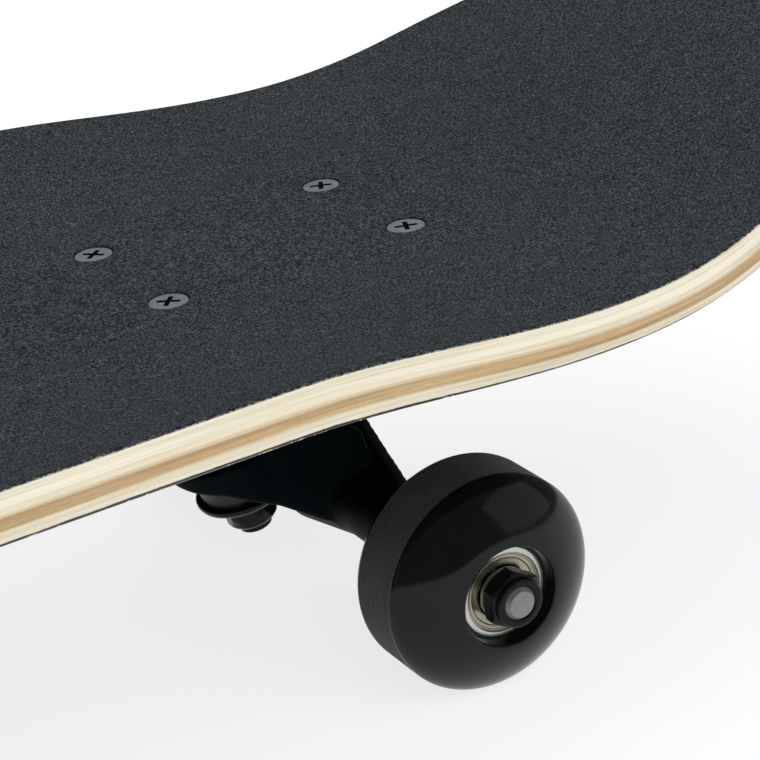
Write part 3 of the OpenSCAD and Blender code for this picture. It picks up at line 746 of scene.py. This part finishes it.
for name, end in ENDS:
    bolts, nuts = [], []
    for (x, y), turn in zip(BOLT_PLACES, BOLT_TURNS):
        spin = Matrix.Rotation(math.radians(turn), 3, "Z")
        place = Vector((x, y, GRIP_TOP - BOLT_SUNK))
        bolts.append(moved(([spin @ p + place for p in BOLT_SHAPE[0]], BOLT_SHAPE[1]), end))
        nut = lathe(lock_nut_profile(), (x, y, 0), segments=72, shape=hexed(9.5))
        nuts.append(moved(nut, end))
    head_and_shade_paints = [BOLT, RECESS_SHADE]
    node = name + "_truck_bolts"
    solid(name + "_bolts_turned", bolts, head_and_shade_paints, "board", node, pick=in_recess)
    solid(name + "_lock_nuts", nuts, ZINC, "board", name + "_truck_nuts")

# ------------------------------------------------------------------ castings


def read_vectors(mesh, key):
    values = np.empty(len(mesh.vertices) * 3)
    mesh.vertices.foreach_get(key, values)
    return values.reshape(-1, 3)


def casting(node, body, voxel, rounds):
    """The CAD shape with cast fillets: remeshed finely, smoothed, and its rounded edges marked, where the
    paint is lighter from worn paint and a painted highlight.

    The remeshing grid is tilted, so that its steps run along none of the casting's faces.
    """
    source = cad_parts[node]
    piece = placed(node + "_cast", source.data.copy())
    tilt = Matrix.Rotation(0.65, 4, "X") @ Matrix.Rotation(0.41, 4, "Y") @ Matrix.Rotation(0.52, 4, "Z")
    piece.data.transform(tilt)
    remesh = piece.modifiers.new("grid", "REMESH")
    remesh.mode, remesh.voxel_size = "VOXEL", voxel * MM
    freeze(piece)
    before = read_vectors(piece.data, "co")
    ease = piece.modifiers.new("fillets", "SMOOTH")
    ease.factor, ease.iterations = 0.5, rounds
    freeze(piece)
    mesh = piece.data
    pulled = ((before - read_vectors(mesh, "co")) * read_vectors(mesh, "normal")).sum(1) / MM
    # Points that smoothing pulled in are the rounded edges; this mask makes the paint lighter there, partly
    # worn paint and partly a painted highlight.
    edge_wear_and_highlight = np.clip((pulled - 0.22) / 0.4, 0, 1)
    mesh.attributes.new("edge_wear_and_highlight", "FLOAT", "POINT").data.foreach_set("value", edge_wear_and_highlight)
    thin = piece.modifiers.new("thin", "DECIMATE")
    thin.ratio = 0.4
    freeze(piece)
    mesh = piece.data
    mesh.transform(tilt.inverted())
    mesh.materials.clear()
    mesh.materials.append(CAST)
    mesh.shade_smooth()
    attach(piece, body)
    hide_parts(node)


for name, _ in ENDS:
    casting(name + "_hanger", name + "_truck", 0.5, 26)
    casting(name + "_baseplate", "board", 0.6, 12)

# ------------------------------------------------------------------ kingpin stack

# Heights are along the kingpin from its foot; the cupped washer is the lower one
KINGPIN_BORE = 4.35
WASHER_LOW, WASHER_HIGH = 7.0, 35.2


def kingpin_nut_profile():
    rows = [(4.2, 0.5), (4.6, 0.1)] + arc(5.0, 1.6, 1.6, -90, 0, 8)
    return rows + [(6.65, 2.4), (6.85, 2.8), (6.9, 3.4), (6.9, 6.3), (6.6, 6.9), (4.2, 7.0)]


def cupped_washer_profile():
    low = WASHER_LOW
    rows = [(KINGPIN_BORE, low + 0.02), (9.2, low + 0.02), (10.6, low + 0.35), (11.6, low + 1.1)]
    rows += [(12.0, low + 1.9)] + arc(11.72, low + 2.5, 0.28, 0, 180, 4)
    return rows + [(11.2, low + 2.0), (10.6, low + 1.62), (9.8, low + 1.45), (KINGPIN_BORE, low + 1.45)]


def flat_washer_profile():
    high, r, thick = WASHER_HIGH, 11.7, 1.8
    rows = [(KINGPIN_BORE, high), (r, high)] + arc(r, high + thick / 2, 0.3, -60, 60, 4)
    return rows + [(r, high + thick), (KINGPIN_BORE, high + thick)]


def bushing_profile(low, high, r):
    """A moulded barrel with round shoulders and a slight waist."""
    tall, corner = high - low, r - 1.3
    rows = [(KINGPIN_BORE, low), (r - 1.6, low)] + arc(corner, low + 0.9, 0.9, -90, -10, 4)
    rows += [(r, low + tall * 0.35), (r - 0.15, low + tall * 0.5), (r, low + tall * 0.65)]
    return rows + arc(corner, high - 0.9, 0.9, 10, 90, 4) + [(KINGPIN_BORE, high)]


# Each bushing's low and high end, its radius, the end that its washer holds, and how much of its
# height is left when the truck is steered as far as it goes
BUSHINGS = {
    "roadside": (8.5, 16.95, 10.4, 8.5, 0.72),
    "boardside": (22.55, 35.2, 11.6, 35.2, 0.85),
}


def on_kingpin(profile, end, segments=96, shape=None):
    return moved(lathe(profile, FOOT, "K", segments, shape), end)


for name, end in ENDS:
    nut = on_kingpin(kingpin_nut_profile(), end, shape=hexed(12.9))
    node = name + "_kingpin_nut"
    solid(node + "_turned", [nut], BLACK, "board", node, sharp=50)
    washers = [on_kingpin(cupped_washer_profile(), end, 128), on_kingpin(flat_washer_profile(), end)]
    node = name + "_bushing_washers"
    solid(name + "_washers_turned", washers, BLACK, "board", node)
    for label, (low, high, r, held, keep) in BUSHINGS.items():
        barrel = on_kingpin(bushing_profile(low, high, r), end)
        node = name + "_bushing_" + label
        piece = solid(node + "_moulded", [barrel], CUSHION, "board", node)
        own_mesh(piece)

# ------------------------------------------------------------------ axles and their nuts

AXLE_R = 3.96
OUTER_FACE = WHEEL_Y + BEARING_MID + BEARING_HALF
THREAD_START, THREAD_END = OUTER_FACE - 1.0, AXLE_HALF - 1.05


def axle_profile():
    """A shank with a rolled thread and a rounded point at each end."""
    rows = [(0.0, AXLE_HALF), (2.7, AXLE_HALF), (3.2, AXLE_HALF - 0.12), (3.35, AXLE_HALF - 0.45)]
    rows += [(AXLE_R, AXLE_HALF - 1.0)] + thread_rows(THREAD_START, THREAD_END, AXLE_R, THREAD)[::-1]
    rows += [(AXLE_R, THREAD_START - 0.4), (AXLE_R, 0.0)]
    return rows + [(r, -h) for r, h in rows[-2::-1]]


def axle_thread(turn, r, h):
    """The same helix at both ends, mirrored about the middle."""
    r, cut_h = HELIX(turn, r, abs(h))
    return r, math.copysign(cut_h, h)


def axle_nut_profile():
    """A hexagon with a face washer inside and the round crown of a lock nut outside."""
    low, high = OUTER_FACE + 1.0, OUTER_FACE + 7.0
    rows = [(3.97, low), (6.1, low), (6.6, low + 0.3)] + slope((6.5, low + 0.3), (7.45, low + 0.8), 5)
    rows += [(7.45, high - 2.6)] + slope((7.45, high - 2.6), (6.4, high - 1.7), 6)
    rows += [(6.05, high - 1.5), (5.9, high - 0.9)] + arc(5.3, high - 0.6, 0.6, 0, 80, 4)
    return rows + [(4.4, high - 0.05), (3.97, high - 0.4)]


THREAD = 1.058
HELIX = threaded(THREAD_START, THREAD_END, AXLE_R, THREAD, 0.42)
AXLE_MIDDLE = (AXLE_X, 0, AXLE_Z)
for name, end in ENDS:
    body = name + "_truck"
    shank = moved(lathe(axle_profile(), AXLE_MIDDLE, "Y", 56, axle_thread), end)
    solid(name + "_axle_threaded", [shank], AXLE, body, name + "_axle", sharp=30)
    nuts = []
    for side in (1, -1):
        nuts.append(moved(lathe(axle_nut_profile(), AXLE_MIDDLE, "Y", 96, hexed(12.7), side), end))
    solid(name + "_axle_nuts_turned", nuts, BLACK, body, name + "_axle_nuts", sharp=26)

# ------------------------------------------------------------------ wheels and the bearings' outside

TREAD_HALF = 6.75
GROOVES, GROOVE_DEEP = 14, 0.4
DOME_R = 12.4
DOME_POWER = 2 / 1.45


def dome_points(sign):
    """One side of the wheel: a rounded rim that flattens toward the bearing."""
    rows = []
    for i in range(30):
        a = math.radians(3 * i)
        r = DOME_R + (WHEEL_R - DOME_R) * math.cos(a) ** DOME_POWER
        rows.append((r, sign * (TREAD_HALF + (WHEEL_HALF - TREAD_HALF) * math.sin(a) ** DOME_POWER)))
    return rows + [(DOME_R, sign * WHEEL_HALF)]


def tread_points():
    """Turned grooves, each a ridge and a floor with a slope on either side."""
    spare = 0.35
    rows, pitch = [], 2 * (TREAD_HALF - spare) / GROOVES
    shape = ((0.02, 0.02), (0.0, 0.2), (0.03, 0.4), (0.38, 0.54), (GROOVE_DEEP, 0.80), (0.1, 0.94))
    for i in range(GROOVES):
        h = -TREAD_HALF + spare + i * pitch
        rows += [(WHEEL_R - deep, h + pitch * share) for deep, share in shape]
    return rows


def wheel_profile():
    """The bore with its two bearing seats, both domes and the tread between them."""
    seat = [(12.1, 15.8), (11.9, 15.3), (11.55, 13.6), (11.3, 13.0)]
    seat += [(11.0, 13.0), (11.0, 6.0), (9.8, 6.0), (9.5, 5.7)]
    rows = [(r, -h) for r, h in seat[::-1]] + dome_points(-1)[::-1]
    return rows + tread_points() + dome_points(1) + seat


def on_tread(face):
    """The tread's own paint goes on the faces between the two domes."""
    spot = face.center
    r = math.hypot(abs(spot.x) / MM - TRUCK_X - AXLE_X, spot.z / MM - AXLE_Z)
    between = abs(abs(spot.y) / MM - WHEEL_Y) < TREAD_HALF - 0.1
    return 1 if r > WHEEL_R - 0.6 and between else 0


def groove_depth(point):
    r = math.hypot(abs(point.x) - TRUCK_X - AXLE_X, point.z - AXLE_Z)
    return min(1.0, max(0.0, WHEEL_R - r) / GROOVE_DEEP)


RING = [(8.95, -2.25), (9.6, -2.25), (9.6, -3.3), (9.75, -BEARING_HALF), (10.65, -BEARING_HALF)]
RING += [(10.9, -3.4), (11.0, -3.15)]
RING += [(r, -h) for r, h in RING[::-1]]


def shield_profile(side):
    """A pressed shield: its curled rim in the outer ring, a rolled step, and a flat inner edge."""
    rows = [(6.5, 2.32), (6.62, 2.25), (9.6, 2.25), (9.6, 2.95), (9.45, 3.02), (9.2, 3.0)]
    rows += [(9.05, 2.82), (8.75, 2.78), (8.5, 2.86), (8.36, 2.86), (8.2, 2.72), (8.1, 2.62)]
    rows += [(7.9, 2.6), (7.2, 2.62), (6.75, 2.64), (6.55, 2.58), (6.5, 2.48)]
    return [(r, side * h) for r, h in rows]


def wheel_set(key, end, side):
    """One wheel with its bearings' outer rings and shields."""
    body = key + "_wheel_set"
    middle = end * side * WHEEL_Y
    wheel = moved(lathe(wheel_profile(), (AXLE_X, middle, AXLE_Z), "Y", 224), end)
    marks = {"groove": [groove_depth(point) for point in wheel[0]]}
    solid(key + "_wheel_turned", [wheel], [DOME, TREAD], body, key + "_wheel",
          sharp=40, pick=on_tread, attributes=marks)
    rings, shields = [], []
    for across in (-BEARING_MID, BEARING_MID):
        place = (AXLE_X, middle + across, AXLE_Z)
        rings.append(moved(lathe(RING, place, "Y", 128), end))
        shields += [moved(lathe(shield_profile(s), place, "Y", 128), end) for s in (-1, 1)]
    solid(key + "_outer_rings_ground", rings, RACE, body, key + "_bearing_outer_rings", 30)
    solid(key + "_shields_pressed", shields, SHIELD, body, key + "_bearing_shields", 30)


for name, end in ENDS:
    for side_name, side in SIDES:
        wheel_set(name + "_" + side_name, end, side)

# ------------------------------------------------------------------ CAD pieces that stay

KEPT = {
    "_pivot_cup": NYLON, "_kingpin": BLACK, "_speed_washers": ZINC, "_bearing_inner_rings": RACE,
    "_bearing_spacers": ZINC, "_bearing_balls": RACE, "_bearing_cages": RACE,
}
for node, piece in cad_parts.items():
    for ending, mat in KEPT.items():
        if node.endswith(ending):
            piece.data.materials.clear()
            piece.data.materials.append(mat)
            piece.data.shade_smooth()
            piece.data.set_sharp_from_angle(angle=math.radians(30))

# ------------------------------------------------------------------ floor, light and camera

FAR = 40.0
floor_mesh = bpy.data.meshes.new("floor")
floor_corners = [(-FAR, -FAR, 0), (FAR, -FAR, 0), (FAR, FAR, 0), (-FAR, FAR, 0)]
floor_mesh.from_pydata(floor_corners, [], [(0, 1, 2, 3)])
floor = placed("floor", floor_mesh)
paper = Paint("floor_paper", rough=0.7)
tone = paper.noise(0.004, 3, 0.5)
paper.colour(paper.ramp(tone, (0.3, (0.25, 0.25, 0.252)), (0.7, (0.27, 0.27, 0.27))))
paper.shader.inputs["Emission Color"].default_value = (1, 1, 1, 1)
paper.shader.inputs["Emission Strength"].default_value = 0.78
floor_mesh.materials.append(paper.mat)

world = bpy.data.worlds.new("studio")
world.use_nodes = True
world.node_tree.nodes["Background"].inputs["Color"].default_value = (0.97, 0.985, 1.0, 1)
world.node_tree.nodes["Background"].inputs["Strength"].default_value = 0.2
scene.world = world


def softbox(name, place, aim, size, power, mirrored=True):
    """A soft lamp; one that is not mirrored lights surfaces but makes no shape in gloss."""
    lamp = bpy.data.lights.new(name, "AREA")
    lamp.shape, lamp.size, lamp.size_y, lamp.energy = "RECTANGLE", size[0], size[1], power
    lamp_object = placed(name, lamp)
    lamp_object.location = place
    lamp_object.rotation_euler = (Vector(aim) - Vector(place)).to_track_quat("-Z", "Y").to_euler()
    lamp_object.visible_glossy = mirrored


FRONT_HALF, MIDDLE = (0.2, 0, 0.05), (0, 0, 0.05)
softbox("key", (0.5, -2.2, 2.1), FRONT_HALF, (3.0, 2.4), 54, False)
softbox("top", (0.4, 0.6, 2.4), FRONT_HALF, (2.5, 2.5), 40, False)
softbox("side", (2.0, -1.4, 1.0), FRONT_HALF, (2.2, 1.7), 5.5)
softbox("back", (-0.8, 2.2, 1.6), MIDDLE, (2.4, 1.6), 14, False)

# The camera looks down at the front right wheel from the right side, turned toward the front end
azimuth, elevation, roll = math.radians(-28.14), math.radians(24.12), math.radians(6.99)
right = Vector((math.cos(azimuth), math.sin(azimuth), 0))
level = Vector((-math.sin(azimuth), math.cos(azimuth), 0))
ahead = level * math.cos(elevation) - Vector((0, 0, math.sin(elevation)))
up = right.cross(ahead)
side_axis = right * math.cos(roll) - up * math.sin(roll)
up_axis = right * math.sin(roll) + up * math.cos(roll)
lens = bpy.data.cameras.new("camera")
lens.sensor_width, lens.lens, lens.clip_start = 36.0, 108.947, 0.02
camera = placed("camera", lens)
spot = Vector((TRUCK_X - 220.5, -469.8, GRIP_TOP + 191.2)) * MM
facing = Matrix((side_axis, up_axis, -ahead)).transposed().to_4x4()
camera.matrix_world = Matrix.Translation(spot) @ facing
scene.camera = camera
